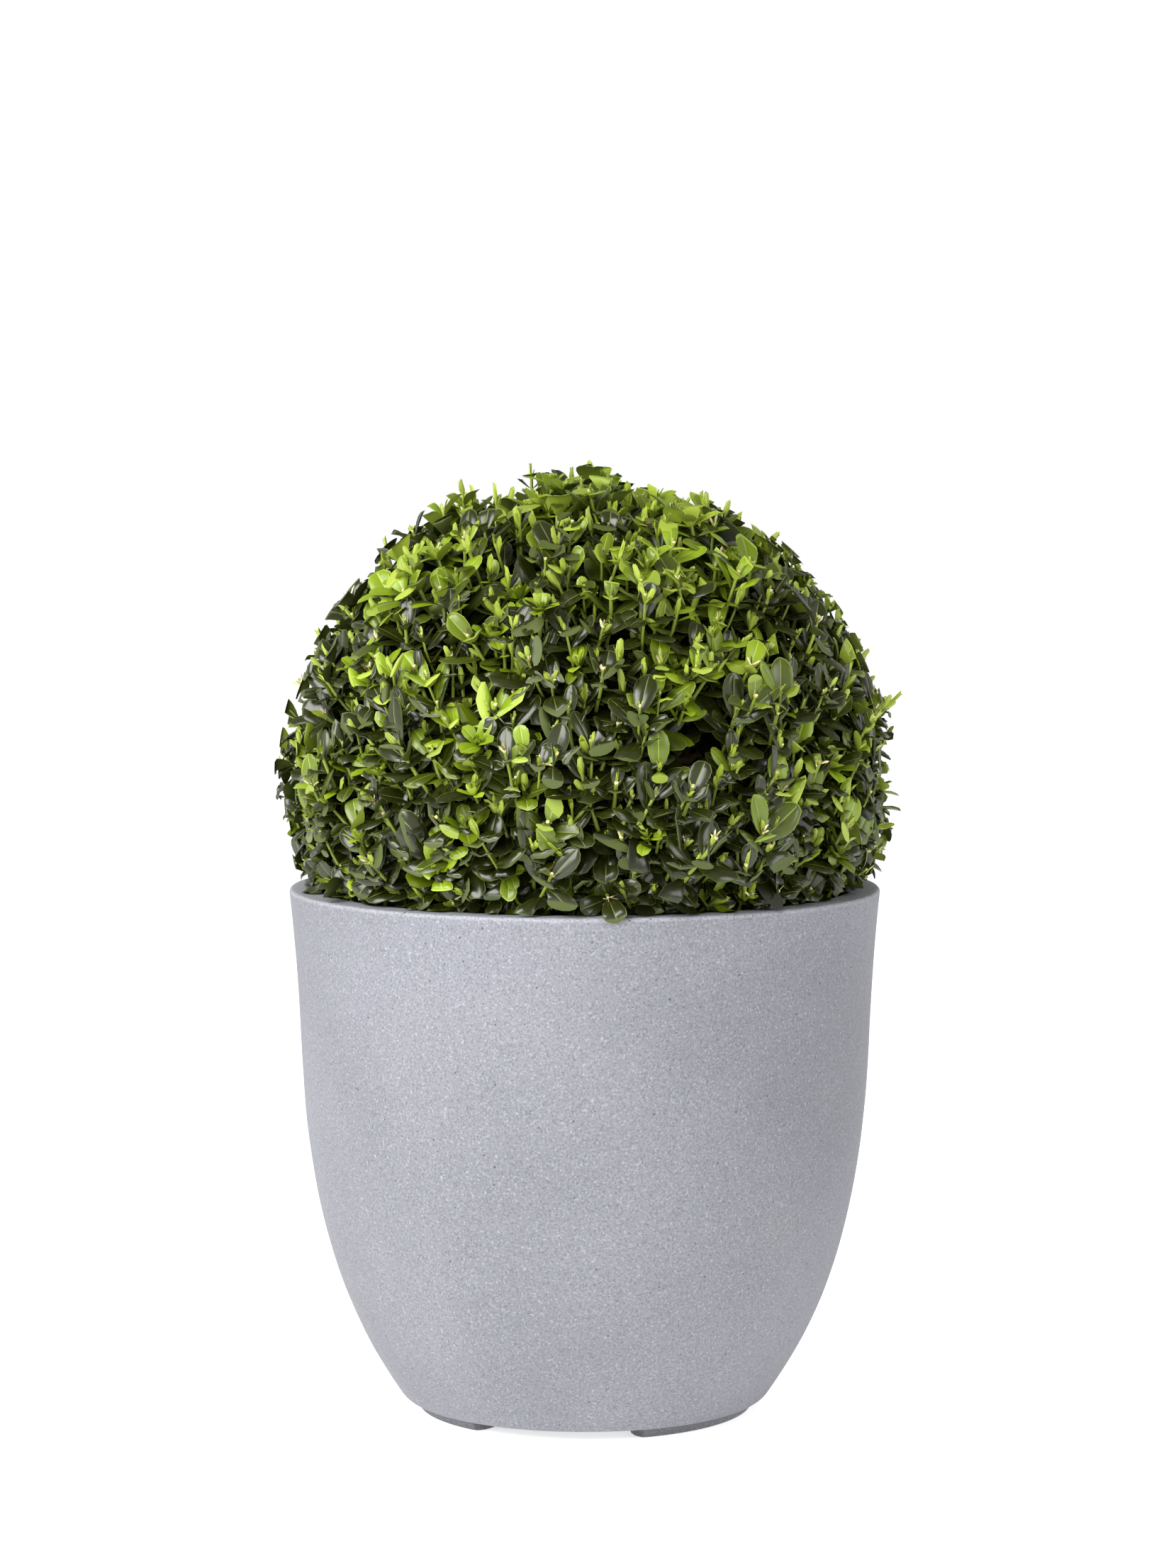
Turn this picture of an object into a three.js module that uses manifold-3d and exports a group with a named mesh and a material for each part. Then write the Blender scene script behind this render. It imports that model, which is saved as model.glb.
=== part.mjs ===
// A clipped box ball growing in a round fibre-clay planter.
// Units are millimetres and +Z is up. The origin is on the ground, on the planter's axis.
// Azimuths are in degrees, turning from the front (-Y) towards the right (+X).

import * as THREE from 'three';
import { mergeVertices } from 'three/addons/utils/BufferGeometryUtils.js';
import Module from 'manifold-3d';

const wasm = await Module();
wasm.setup();

const GAP = 0.3; // left between pieces that touch

// ---- driving dimensions -----------------------------------------------------------------------

const SEGMENTS = 64; // facets round everything that is turned

// Planter: a round shell whose wall draws in slowly, then curves under to a narrow base.
const RIM_Z = 311;
const RIM_R = 175;
const RIM_WIDTH = 18; // flat top of the wall
const RIM_EDGE = 2; // rounding of the rim's two edges
const BASE_Z = 6; // underside, held off the ground by the feet
const BASE_FLAT_R = 103;
const BASE_ROUND = 9;
const BASE_SLOPE = 36; // lean of the wall from upright where it meets the base's rounding
const WALL_UPPER_PULL = [RIM_R - 11.7, RIM_Z * 0.665]; // keeps the wall nearly upright below the rim
const WALL_LOWER_PULL = [RIM_R + 3.7, RIM_Z * 0.348]; // swells it before it curves under
const FLOOR_THICK = 16;
const WALL_THICK = 14; // below the thicker rim
const RIM_DEPTH = 60; // height over which the rim runs down into the thinner wall

// Three feet, each an arc of one low ring.
const FOOT_COUNT = 3;
const FOOT_SPAN = 64;
const FOOT_FIRST = 50; // azimuth of the first foot's middle
const FOOT_OUTER_R = BASE_FLAT_R;
const FOOT_WIDTH = 22; // at the ground
const FOOT_BEVEL = 3.5; // both sides draw in this much towards the ground

// Compost, a little below the rim.
const COMPOST_Z = RIM_Z - 30;
const COMPOST_SWELL = 2.5; // height of its low humps
const COMPOST_FLAT_R = 34; // left flat round the stem's foot
const COMPOST_CLEARANCE = 1; // to the planter's inside

// Main stem: one short stem, hidden inside the ball.
const STEM_FORK_Z = COMPOST_Z + 62;
const STEM_FOOT_R = 12;
const STEM_FLARE_R = 17;
const STEM_FLARE_HEIGHT = 14;
const STEM_TOP_R = 9;
const STEM_LEAN = 4; // sideways from foot to fork

// Crown: a ball cut over by shears, uneven from tuft to tuft, with a neck inside the planter's mouth.
const BALL_Z = RIM_Z + 64;
const BALL_R = 177;
const BALL_DETAIL = 13; // subdivisions of each icosahedron edge
const TUFT_HEIGHT = 1.5; // of each of the waves that make the surface uneven
const TUFT_LENGTHS = [70, 52, 38]; // wavelengths of those waves
const WAVES_PER_LENGTH = 5;
const NECK_R = RIM_R - RIM_WIDTH - 5;
const NECK_Z = RIM_Z + 1; // above this the ball spreads out over the rim
const NECK_FLARE = 3; // spread for each millimetre of height
const NECK_TAPER = 6; // how much narrower the neck is at its foot
const CROWN_FOOT_Z = COMPOST_Z + 9;
const STEM_CLEARANCE = 1;

// ---- materials --------------------------------------------------------------------------------

const fibreClay = new THREE.MeshStandardMaterial({ color: 0xb4b7bf, roughness: 0.75, metalness: 0 });
const footClay = new THREE.MeshStandardMaterial({ color: 0x8c8e95, roughness: 0.8, metalness: 0 });
const compost = new THREE.MeshStandardMaterial({ color: 0x3a2d22, roughness: 0.95, metalness: 0 });
const bark = new THREE.MeshStandardMaterial({ color: 0x8a7f66, roughness: 0.85, metalness: 0 });
const foliage = new THREE.MeshStandardMaterial({ color: 0x4f5a24, roughness: 0.6, metalness: 0 });

// ---- solids -----------------------------------------------------------------------------------

const degrees = THREE.MathUtils.degToRad;

/** Keeps only positions and merges the vertices that faces share. */
function welded(geometry) {
  geometry.deleteAttribute('normal');
  geometry.deleteAttribute('uv');
  return mergeVertices(geometry, 1e-3);
}

/** Turns a profile of [radius, height] points about Z; the profile starts and ends on the axis or closes. */
function turned(profile, segments = SEGMENTS) {
  const points = profile.map(([r, z]) => new THREE.Vector2(r, z));
  const geometry = new THREE.LatheGeometry(points, segments);
  geometry.rotateX(Math.PI / 2);
  return welded(geometry);
}

function toSolid(geometry) {
  const vertProperties = new Float32Array(geometry.attributes.position.array);
  const triVerts = new Uint32Array(geometry.index.array);
  return new wasm.Manifold(new wasm.Mesh({ numProp: 3, vertProperties, triVerts }));
}

function toGeometry(solid) {
  const mesh = solid.getMesh();
  const geometry = new THREE.BufferGeometry();
  geometry.setAttribute('position', new THREE.BufferAttribute(new Float32Array(mesh.vertProperties), 3));
  geometry.setIndex(new THREE.BufferAttribute(new Uint32Array(mesh.triVerts), 1));
  return geometry;
}

/** Points on an arc in the profile plane, from one angle to another in degrees. */
function arc(centreR, centreZ, radius, from, to, steps) {
  const points = [];
  for (let i = 0; i <= steps; i++) {
    const angle = degrees(from + ((to - from) * i) / steps);
    points.push([centreR + radius * Math.cos(angle), centreZ + radius * Math.sin(angle)]);
  }
  return points;
}

// ---- planter ----------------------------------------------------------------------------------

const baseRounding = arc(BASE_FLAT_R, BASE_Z + BASE_ROUND, BASE_ROUND, -90, -BASE_SLOPE, 4);

/** The outer wall as one curve from the rim to the base's rounding. */
const outerWall = new THREE.CubicBezierCurve(
  new THREE.Vector2(RIM_R, RIM_Z - RIM_EDGE),
  new THREE.Vector2(...WALL_UPPER_PULL),
  new THREE.Vector2(...WALL_LOWER_PULL),
  new THREE.Vector2(...baseRounding.at(-1)),
);

/** Radius of the outer wall at a height. */
function wallRadius(z) {
  let low = 0;
  let high = 1;
  for (let i = 0; i < 30; i++) {
    const middle = (low + high) / 2;
    if (outerWall.getPoint(middle).y > z) low = middle;
    else high = middle;
  }
  return outerWall.getPoint(low).x;
}

/** Radius of the planter's hollow at a height: the thick rim runs down into a thinner wall. */
function hollowRadius(z) {
  const belowRim = THREE.MathUtils.clamp((RIM_Z - z) / RIM_DEPTH, 0, 1);
  return wallRadius(z) - THREE.MathUtils.lerp(RIM_WIDTH, WALL_THICK, belowRim);
}

function planterProfile() {
  const outer = outerWall.getPoints(12).map((p) => [p.x, p.y]).reverse().slice(1);
  const rim = [
    ...arc(RIM_R - RIM_EDGE, RIM_Z - RIM_EDGE, RIM_EDGE, 30, 90, 2),
    ...arc(RIM_R - RIM_WIDTH + RIM_EDGE, RIM_Z - RIM_EDGE, RIM_EDGE, 90, 180, 3),
  ];
  const hollowFloor = BASE_Z + FLOOR_THICK;
  const inner = [];
  const steps = 8;
  for (let i = 1; i <= steps; i++) {
    const z = THREE.MathUtils.lerp(RIM_Z - RIM_EDGE, hollowFloor, i / steps);
    inner.push([hollowRadius(z), z]);
  }
  return [[0, BASE_Z], ...baseRounding, ...outer, ...rim, ...inner, [0, hollowFloor]];
}

// ---- feet -------------------------------------------------------------------------------------

/** One foot: an arc of a ring, bevelled in towards the ground, in the outline seen from above. */
function footSolid(middle) {
  const ring = toSolid(turned([
    [FOOT_OUTER_R - FOOT_WIDTH, 0],
    [FOOT_OUTER_R - FOOT_BEVEL, 0],
    [FOOT_OUTER_R, BASE_Z - GAP],
    [FOOT_OUTER_R - FOOT_WIDTH - FOOT_BEVEL, BASE_Z - GAP],
    [FOOT_OUTER_R - FOOT_WIDTH, 0],
  ]));
  const half = degrees(FOOT_SPAN / 2);
  const reach = FOOT_OUTER_R * 1.3;
  const wedge = new THREE.Shape();
  wedge.moveTo(0, 0);
  for (const turn of [-half, 0, half]) {
    wedge.lineTo(reach * Math.sin(turn), -reach * Math.cos(turn));
  }
  const cutter = new THREE.ExtrudeGeometry(wedge, { depth: BASE_Z * 2, bevelEnabled: false });
  cutter.translate(0, 0, -BASE_Z / 2);
  cutter.rotateZ(degrees(middle));
  return ring.intersect(toSolid(welded(cutter)));
}

// ---- compost ----------------------------------------------------------------------------------

function compostSolid() {
  const floor = BASE_Z + FLOOR_THICK + GAP;
  const profile = [[0, floor]];
  const steps = 8;
  for (let i = 0; i <= steps; i++) {
    const z = THREE.MathUtils.lerp(floor, COMPOST_Z - COMPOST_SWELL, i / steps);
    profile.push([hollowRadius(z) - COMPOST_CLEARANCE, z]);
  }
  const [edgeRadius, topHeight] = profile.at(-1);
  const rings = 6;
  for (let i = rings - 1; i >= 0; i--) profile.push([(edgeRadius * i) / rings, topHeight]);
  const geometry = turned(profile, 32);
  const position = geometry.attributes.position;
  for (let i = 0; i < position.count; i++) {
    const x = position.getX(i);
    const y = position.getY(i);
    const onTop = position.getZ(i) > topHeight - GAP;
    if (onTop && Math.hypot(x, y) > COMPOST_FLAT_R) {
      const hump = Math.sin(x / 19 + 1) * Math.cos(y / 23) + Math.sin((x - y) / 31);
      position.setZ(i, position.getZ(i) + (COMPOST_SWELL * hump) / 2);
    }
  }
  return geometry;
}

// ---- main stem --------------------------------------------------------------------------------

/** Radius of the stem at a height above the compost: root flare, then an even taper to the fork. */
function stemRadius(height) {
  const along = height / (STEM_FORK_Z - COMPOST_Z);
  const shaft = THREE.MathUtils.lerp(STEM_FOOT_R, STEM_TOP_R, along);
  return shaft + (STEM_FLARE_R - STEM_FOOT_R) * Math.exp(-height / (STEM_FLARE_HEIGHT / 2));
}

/** The stem, made thicker and longer by extra, so that the same shape cuts its own way in the crown. */
function stemGeometry(extra = 0) {
  const foot = COMPOST_Z - COMPOST_SWELL + GAP;
  const steps = 8;
  const profile = [[0, foot - extra]];
  for (let i = 0; i <= steps; i++) {
    const z = THREE.MathUtils.lerp(foot - extra, STEM_FORK_Z + extra, i / steps);
    profile.push([stemRadius(Math.max(0, z - foot)) + extra, z]);
  }
  profile.push([0, STEM_FORK_Z + extra]);
  const geometry = turned(profile, 20);
  const position = geometry.attributes.position;
  for (let i = 0; i < position.count; i++) {
    const lean = ((position.getZ(i) - foot) / (STEM_FORK_Z - foot)) * STEM_LEAN;
    position.setX(i, position.getX(i) + lean);
  }
  return geometry;
}

// ---- crown ------------------------------------------------------------------------------------

/** Directions of the waves that make the ball uneven, spread by the golden angle. */
function waveDirections(count) {
  const golden = Math.PI * (3 - Math.sqrt(5));
  const directions = [];
  for (let i = 0; i < count; i++) {
    const up = 1 - (2 * i + 1) / count;
    const level = Math.sqrt(1 - up * up);
    directions.push(new THREE.Vector3(level * Math.cos(golden * i), level * Math.sin(golden * i), up));
  }
  return directions;
}

/** Height of the tufts above the even ball, at a point on it. */
function tuftHeight(point) {
  const directions = waveDirections(TUFT_LENGTHS.length * WAVES_PER_LENGTH);
  let height = 0;
  directions.forEach((direction, i) => {
    const length = TUFT_LENGTHS[i % TUFT_LENGTHS.length];
    height += TUFT_HEIGHT * Math.sin((2 * Math.PI * point.dot(direction)) / length + i * i);
  });
  return height;
}

function crownSolid() {
  const ball = new THREE.IcosahedronGeometry(BALL_R, BALL_DETAIL);
  const position = ball.attributes.position;
  const point = new THREE.Vector3();
  for (let i = 0; i < position.count; i++) {
    point.fromBufferAttribute(position, i);
    point.setLength(BALL_R + tuftHeight(point));
    position.setXYZ(i, point.x, point.y, point.z + BALL_Z);
  }
  const spread = BALL_R * 0.4;
  const mouth = toSolid(turned([
    [0, CROWN_FOOT_Z],
    [NECK_R - NECK_TAPER, CROWN_FOOT_Z],
    [NECK_R, NECK_Z],
    [NECK_R + spread, NECK_Z + spread / NECK_FLARE],
    [NECK_R + spread, BALL_Z + BALL_R * 1.3],
    [0, BALL_Z + BALL_R * 1.3],
  ]));
  return toSolid(welded(ball)).intersect(mouth).subtract(toSolid(stemGeometry(STEM_CLEARANCE)));
}

// ---- assembly ---------------------------------------------------------------------------------

const plant = new THREE.Group();

function addPart(name, geometry, material) {
  const mesh = new THREE.Mesh(geometry, material);
  mesh.name = name;
  plant.add(mesh);
}

addPart('planter', turned(planterProfile()), fibreClay);
for (let i = 0; i < FOOT_COUNT; i++) {
  const middle = FOOT_FIRST + (360 / FOOT_COUNT) * i;
  addPart(`planter_foot_${i + 1}`, toGeometry(footSolid(middle)), footClay);
}
addPart('compost', compostSolid(), compost);
addPart('main_stem', stemGeometry(), bark);
addPart('crown', toGeometry(crownSolid()), foliage);

export default plant;
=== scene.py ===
"""A box shrub clipped to a ball, growing in a round fibre-clay planter.

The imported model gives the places. The planter is turned from its profile. The shrub grows by a seeded
branching rule from its stem to the clipped surface, and leaves sit on its shoots in pairs, cut where the
shears passed. Everything is in metres, with +Z up and the front towards -Y.
"""
import math
import random
from collections import namedtuple

import bpy
import numpy as np
from mathutils import Matrix, Vector, noise


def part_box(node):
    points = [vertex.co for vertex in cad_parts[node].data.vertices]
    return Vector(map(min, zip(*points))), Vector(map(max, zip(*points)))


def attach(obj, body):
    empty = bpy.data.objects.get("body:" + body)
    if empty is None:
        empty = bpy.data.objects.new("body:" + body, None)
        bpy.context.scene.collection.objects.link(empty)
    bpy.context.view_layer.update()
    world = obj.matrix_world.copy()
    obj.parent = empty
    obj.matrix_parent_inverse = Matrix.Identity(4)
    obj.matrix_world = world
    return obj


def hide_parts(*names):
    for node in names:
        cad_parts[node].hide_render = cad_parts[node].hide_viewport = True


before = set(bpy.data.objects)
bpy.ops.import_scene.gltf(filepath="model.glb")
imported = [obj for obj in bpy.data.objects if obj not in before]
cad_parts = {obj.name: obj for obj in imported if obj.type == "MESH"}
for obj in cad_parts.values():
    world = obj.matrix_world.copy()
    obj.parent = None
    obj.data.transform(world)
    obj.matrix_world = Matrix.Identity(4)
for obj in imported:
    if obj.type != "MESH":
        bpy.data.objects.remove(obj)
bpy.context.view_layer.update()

# ---- sizes ----

MM = 0.001
SEED = 11

planter_low, planter_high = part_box("planter")
RIM_R = planter_high.x
RIM_Z = planter_high.z
BASE_Z = planter_low.z
RIM_WIDTH = 18 * MM
RIM_EDGE = 2 * MM
BASE_FLAT_R = 103 * MM
BASE_ROUND = 9 * MM
BASE_SLOPE = 36
WALL_UPPER_PULL = (RIM_R - 11.7 * MM, RIM_Z * 0.665)
WALL_LOWER_PULL = (RIM_R + 3.7 * MM, RIM_Z * 0.348)
WALL_THICK = 14 * MM
FLOOR_THICK = 16 * MM
RIM_INNER_R = RIM_R - RIM_WIDTH

FOOT_AZIMUTHS = (50, 170, 290)
FOOT_SPAN = 64
FOOT_WIDTH = 22 * MM
FOOT_BEVEL = 3.5 * MM
FOOT_EDGE = 1.2 * MM
FOOT_STRAIGHT = 0.93  # the share of a foot's span between its rounded ends

COMPOST_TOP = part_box("compost")[1].z

stem_low, stem_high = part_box("main_stem")
STEM_FOOT = Vector((0, 0, stem_low.z))
STEM_FORK = Vector((4 * MM, 0, stem_high.z))
STEM_RADII = (12 * MM, 9 * MM)  # at the foot without its flare, and at the fork
FLARE = 5 * MM
FLARE_FADE = 62 / 7  # the stem's length over the height in which its flare fades

# The clipped ball. Its surface rises and falls in low waves, as hand shears leave it.
BALL_CENTRE = Vector((0, 0, RIM_Z + 64 * MM))
BALL_R = 177 * MM
WAVE_HEIGHT = 1.5 * MM
WAVE_LENGTHS = (70 * MM, 52 * MM, 38 * MM)
WAVES_PER_LENGTH = 5

# Boughs and shoots.
SIDE_BOUGHS = 7
UPRIGHT = 0.72  # the shoots of the upper bough stand at least this far up the unit ball
SHOOT_COUNT = 1620  # on the whole ball; those below the rim are left out
SHOOT_LENGTH = 58 * MM
CUT_SPREAD = 1.6  # how unevenly the shears cut, in millimetres
STRAY_SHARE = 0.02  # shoots that have grown on since the last cut
STRAY_GROWTH = 3 * MM
SKIRT_COUNT = 130  # extra shoots that fill the planter's mouth
SKIRT_FALL = 0.42  # how far they point below level from the ball's centre
LEAF_LENGTHS = (13 * MM, 30 * MM, 19.5 * MM)  # shortest, longest, usual
INTERNODE = (7 * MM, 14 * MM)
PAIRS = 6
WALL_GAP = 3 * MM  # what stems and leaves keep clear of the planter
GOLDEN_ANGLE = math.pi * (3 - math.sqrt(5))

CAMERA_LENS = 95.15  # millimetres
CAMERA_PLACE = (1.7 * MM, -2.45, 0.569)
CAMERA_DOWN = 4.607  # degrees below level
LIGHT_AIM = Vector((0, 0, 0.3))

UP = Vector((0, 0, 1))


# ---- node trees ----


def work_out(operation, *values):
    """Adds one Math node, or a Vector Math node when any value is a vector."""
    tree = next(value.tree for value in values if isinstance(value, Wire))
    vector = any(isinstance(value, Wire) and value.socket.type == "VECTOR" for value in values)
    kind = "ShaderNodeVectorMath" if vector else "ShaderNodeMath"
    return tree.node(kind, {"operation": operation}, dict(enumerate(values)))


def operator(operation, reflected=False):
    """A method of Wire for one operator."""
    def method(self, other):
        return work_out(operation, *((other, self) if reflected else (self, other)))
    return method


class Wire:
    """A node's output that can stand in a Python expression."""

    __add__ = operator("ADD")
    __radd__ = operator("ADD", reflected=True)
    __sub__ = operator("SUBTRACT")
    __rsub__ = operator("SUBTRACT", reflected=True)
    __mul__ = operator("MULTIPLY")
    __rmul__ = operator("MULTIPLY", reflected=True)
    __truediv__ = operator("DIVIDE")
    __rtruediv__ = operator("DIVIDE", reflected=True)
    __gt__ = operator("GREATER_THAN")
    __lt__ = operator("LESS_THAN")
    at_least = operator("MAXIMUM")

    def __init__(self, tree, socket):
        self.tree = tree
        self.socket = socket

    def length(self):
        return self.tree.node("ShaderNodeVectorMath", {"operation": "LENGTH"}, {0: self}, "Value")

    def dot(self, other):
        settings = {"operation": "DOT_PRODUCT"}
        return self.tree.node("ShaderNodeVectorMath", settings, {0: self, 1: other}, "Value")


class Tree:
    """Adds nodes to one node tree: the type, its settings, then the values or links of its sockets."""

    def __init__(self, tree):
        self.tree = tree

    def node(self, kind, settings=None, inputs=None, output=0):
        made = self.tree.nodes.new(kind)
        for name, value in (settings or {}).items():
            setattr(made, name, value)
        for name, value in (inputs or {}).items():
            socket = made.inputs[name]
            if isinstance(value, Wire):
                self.tree.links.new(value.socket, socket)
            else:
                socket.default_value = value
        return Wire(self, made.outputs[output])

    def ramp(self, value, low, high):
        """0 below low and 1 above high, smoothly in between."""
        settings = {"interpolation_type": "SMOOTHSTEP"}
        return self.node("ShaderNodeMapRange", settings, {"Value": value, "From Min": low, "From Max": high})

    def mix(self, share, first, second):
        settings = {"data_type": "RGBA"}
        return self.node("ShaderNodeMix", settings, {0: share, 6: first, 7: second}, 2)

    def noise(self, place, scale, detail=2.0, roughness=0.5):
        inputs = {"Vector": place, "Scale": scale, "Detail": detail, "Roughness": roughness}
        return self.node("ShaderNodeTexNoise", None, inputs)


class Finish(Tree):
    """A material: one Principled shader, its constant values and the nodes that feed it."""

    def __init__(self, name, **constants):
        self.material = bpy.data.materials.new(name)
        self.material.use_nodes = True
        super().__init__(self.material.node_tree)
        self.shader = next(n for n in self.tree.nodes if n.type == "BSDF_PRINCIPLED")
        for socket, value in constants.items():
            self.shader.inputs[socket.replace("_", " ")].default_value = value

    def feed(self, socket, wire):
        self.tree.links.new(wire.socket, self.shader.inputs[socket])

    def place(self):
        return self.node("ShaderNodeTexCoord", output="Object")

    def relief(self, height, distance, strength=1.0):
        inputs = {"Height": height, "Distance": distance, "Strength": strength}
        self.feed("Normal", self.node("ShaderNodeBump", None, inputs))


class Rule(Tree):
    """A geometry tree with named inputs, run on a mesh to give a plain mesh."""

    def __init__(self, name, inputs):
        self.group = bpy.data.node_groups.new(name, "GeometryNodeTree")
        super().__init__(self.group)
        sockets = {"Geometry": "Geometry", **inputs}
        for label, kind in sockets.items():
            self.group.interface.new_socket(label, in_out="INPUT", socket_type="NodeSocket" + kind)
        self.group.interface.new_socket("Geometry", in_out="OUTPUT", socket_type="NodeSocketGeometry")
        self.entry = self.group.nodes.new("NodeGroupInput")

    def given(self, label):
        return Wire(self, self.entry.outputs[label])

    def stored(self, name, kind="FLOAT"):
        return self.node("GeometryNodeInputNamedAttribute", {"data_type": kind}, {"Name": name})

    def moved(self, geometry, offset):
        return self.node("GeometryNodeSetPosition", None, {"Geometry": geometry, "Offset": offset})

    def dressed(self, geometry, material, chosen=True):
        inputs = {"Geometry": geometry, "Selection": chosen, "Material": material}
        return self.node("GeometryNodeSetMaterial", None, inputs)

    def end(self, geometry):
        leave = self.group.nodes.new("NodeGroupOutput")
        self.tree.links.new(geometry.socket, leave.inputs["Geometry"])

    def run(self, name, mesh, values):
        """Applies the rule to a mesh and returns a new object of that name."""
        source = linked(name + "_source", mesh)
        modifier = source.modifiers.new("rule", "NODES")
        modifier.node_group = self.group
        for item in self.group.interface.items_tree:
            if item.in_out == "INPUT" and item.name in values:
                modifier[item.identifier] = values[item.name]
        source.update_tag()
        graph = bpy.context.evaluated_depsgraph_get()
        result = bpy.data.meshes.new_from_object(source.evaluated_get(graph))
        bpy.data.objects.remove(source)
        result.name = name
        return linked(name, result)


def mesh_of(name, verts, edges, faces):
    mesh = bpy.data.meshes.new(name)
    mesh.from_pydata(verts, edges, faces)
    return mesh


def store(mesh, name, kind, values, domain="POINT"):
    """Keeps a value for each point or face of a mesh."""
    field = "vector" if kind == "FLOAT_VECTOR" else "value"
    mesh.attributes.new(name, kind, domain).data.foreach_set(field, values)


def linked(name, data):
    """A new object in the scene."""
    made = bpy.data.objects.new(name, data)
    bpy.context.scene.collection.objects.link(made)
    return made


# ---- finishes ----


def rgb(red, green, blue):
    """A colour as a screen shows it, in 0 to 255, made linear."""
    def linear(value):
        value /= 255
        return value / 12.92 if value <= 0.04045 else ((value + 0.055) / 1.055) ** 2.4
    return (linear(red), linear(green), linear(blue), 1.0)


def clay_finish(name, light, dark):
    """Cast fibre clay: cool grey, with clouds, fine grain, dark pits, and a painted highlight that makes a
    band at the rim's top paler.
    """
    clay = Finish(name, Roughness=0.62)
    place = clay.place()
    height = clay.node("ShaderNodeSeparateXYZ", None, {0: place}, "Z")
    clouds = clay.noise(place, 7, 3)
    hue = clay.noise(place, 16, 2)
    grain = clay.noise(place, 800, 3, 0.7)
    fleck = clay.noise(place, 300, 1)

    base = clay.mix(clay.ramp(clouds, 0.3, 0.7), dark, light)
    warm = clay.mix(0.5, base, rgb(128, 125, 123))
    base = clay.mix(clay.ramp(hue, 0.52, 0.75) * 0.3, base, warm)
    # Painted highlight: the band just under the rim's top is mixed paler, as where light catches the rim's
    # rounded edge.
    rim_painted_highlight = clay.ramp(height, RIM_Z - 3 * MM, RIM_Z - 0.5 * MM)
    base = clay.mix(rim_painted_highlight * 0.4, base, rgb(176, 178, 184))
    base = clay.mix(clay.ramp(grain, 0.52, 0.34) * 0.54, base, rgb(66, 67, 73))
    base = clay.mix(clay.ramp(grain, 0.56, 0.70) * 0.5, base, rgb(172, 173, 180))
    base = clay.mix(clay.ramp(fleck, 0.68, 0.78) * 0.25, base, rgb(174, 175, 181))

    pits = None
    for scale, size in ((190, 0.10), (90, 0.075)):
        cell = clay.node("ShaderNodeTexVoronoi", {"feature": "F1"}, {"Vector": place, "Scale": scale})
        pit = clay.ramp(cell, size, size * 0.45)
        pits = pit if pits is None else pits.at_least(pit)
    base = clay.mix(pits * 0.8, base, rgb(46, 47, 52))
    clay.feed("Base Color", base)

    clay.relief(grain * 0.35 + fleck * 0.2 - pits, 0.5 * MM, 0.35)
    clay.feed("Roughness", 0.56 + grain * 0.14)
    return clay.material


def bark_finish(name):
    """Old box wood: grey-tan bark in fine lengthways cracks, with darker hollows."""
    bark = Finish(name, Roughness=0.85)
    place = bark.place()
    stretch = bark.node("ShaderNodeMapping", None, {"Vector": place, "Scale": (1, 1, 0.25)})
    cracks = bark.noise(stretch, 420, 4, 0.65)
    patches = bark.noise(place, 60, 2)
    base = bark.mix(bark.ramp(patches, 0.35, 0.65), rgb(122, 108, 80), rgb(150, 140, 112))
    base = bark.mix(bark.ramp(cracks, 0.5, 0.36), base, rgb(66, 54, 38))
    bark.feed("Base Color", base)
    bark.relief(cracks, 0.6 * MM)
    return bark.material


def compost_finish(name):
    """Damp potting compost: near-black crumbs with brown fibres."""
    compost = Finish(name, Roughness=0.95)
    place = compost.place()
    crumbs = compost.noise(place, 260, 4, 0.7)
    fibres = compost.noise(place, 90, 3)
    base = compost.mix(compost.ramp(crumbs, 0.35, 0.7), rgb(26, 20, 15), rgb(64, 48, 34))
    base = compost.mix(compost.ramp(fibres, 0.62, 0.72), base, rgb(98, 74, 50))
    compost.feed("Base Color", base)
    compost.relief(crumbs, 2 * MM)
    return compost.material


def plain_finish(name, screen_colour, roughness, specular=0.5):
    """One plain colour, for leaves, buds and twigs: their colours are dealt out by spray."""
    colour = rgb(*screen_colour)
    return Finish(name, Base_Color=colour, Roughness=roughness, Specular_IOR_Level=specular).material


# ---- turned pieces ----


def arc(centre, radius, start, stop, steps):
    angles = (math.radians(start + (stop - start) * i / steps) for i in range(steps + 1))
    return [(centre[0] + radius * math.cos(a), centre[1] + radius * math.sin(a)) for a in angles]


def curve_points(first, pull_one, pull_two, last, steps):
    """Points on one cubic curve between two points of a profile."""
    points = []
    for i in range(steps + 1):
        t = i / steps
        weights = ((1 - t) ** 3, 3 * t * (1 - t) ** 2, 3 * t * t * (1 - t), t**3)
        corners = (first, pull_one, pull_two, last)
        points.append(tuple(sum(w * c[axis] for w, c in zip(weights, corners)) for axis in (0, 1)))
    return points


def turned_mesh(name, profile, segments):
    """Turns a profile of (radius, height) that starts and ends on the axis."""
    body = profile[1:-1]
    verts = [(0, 0, profile[0][1]), (0, 0, profile[-1][1])]
    for radius, height in body:
        for k in range(segments):
            angle = 2 * math.pi * k / segments
            verts.append((radius * math.cos(angle), radius * math.sin(angle), height))
    last = 2 + (len(body) - 1) * segments
    faces = []
    for k in range(segments):
        after = (k + 1) % segments
        faces.append((0, 2 + after, 2 + k))
        faces.append((1, last + k, last + after))
        for row in range(len(body) - 1):
            low = 2 + row * segments
            faces.append((low + k, low + after, low + segments + after, low + segments + k))
    mesh = mesh_of(name, verts, [], faces)
    mesh.shade_smooth()
    return mesh


BASE_ARC = arc((BASE_FLAT_R, BASE_Z + BASE_ROUND), BASE_ROUND, -90, -BASE_SLOPE, 10)
OUTER_WALL = curve_points(
    BASE_ARC[-1], WALL_LOWER_PULL, WALL_UPPER_PULL, (RIM_R, RIM_Z - RIM_EDGE), 70
)


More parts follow.
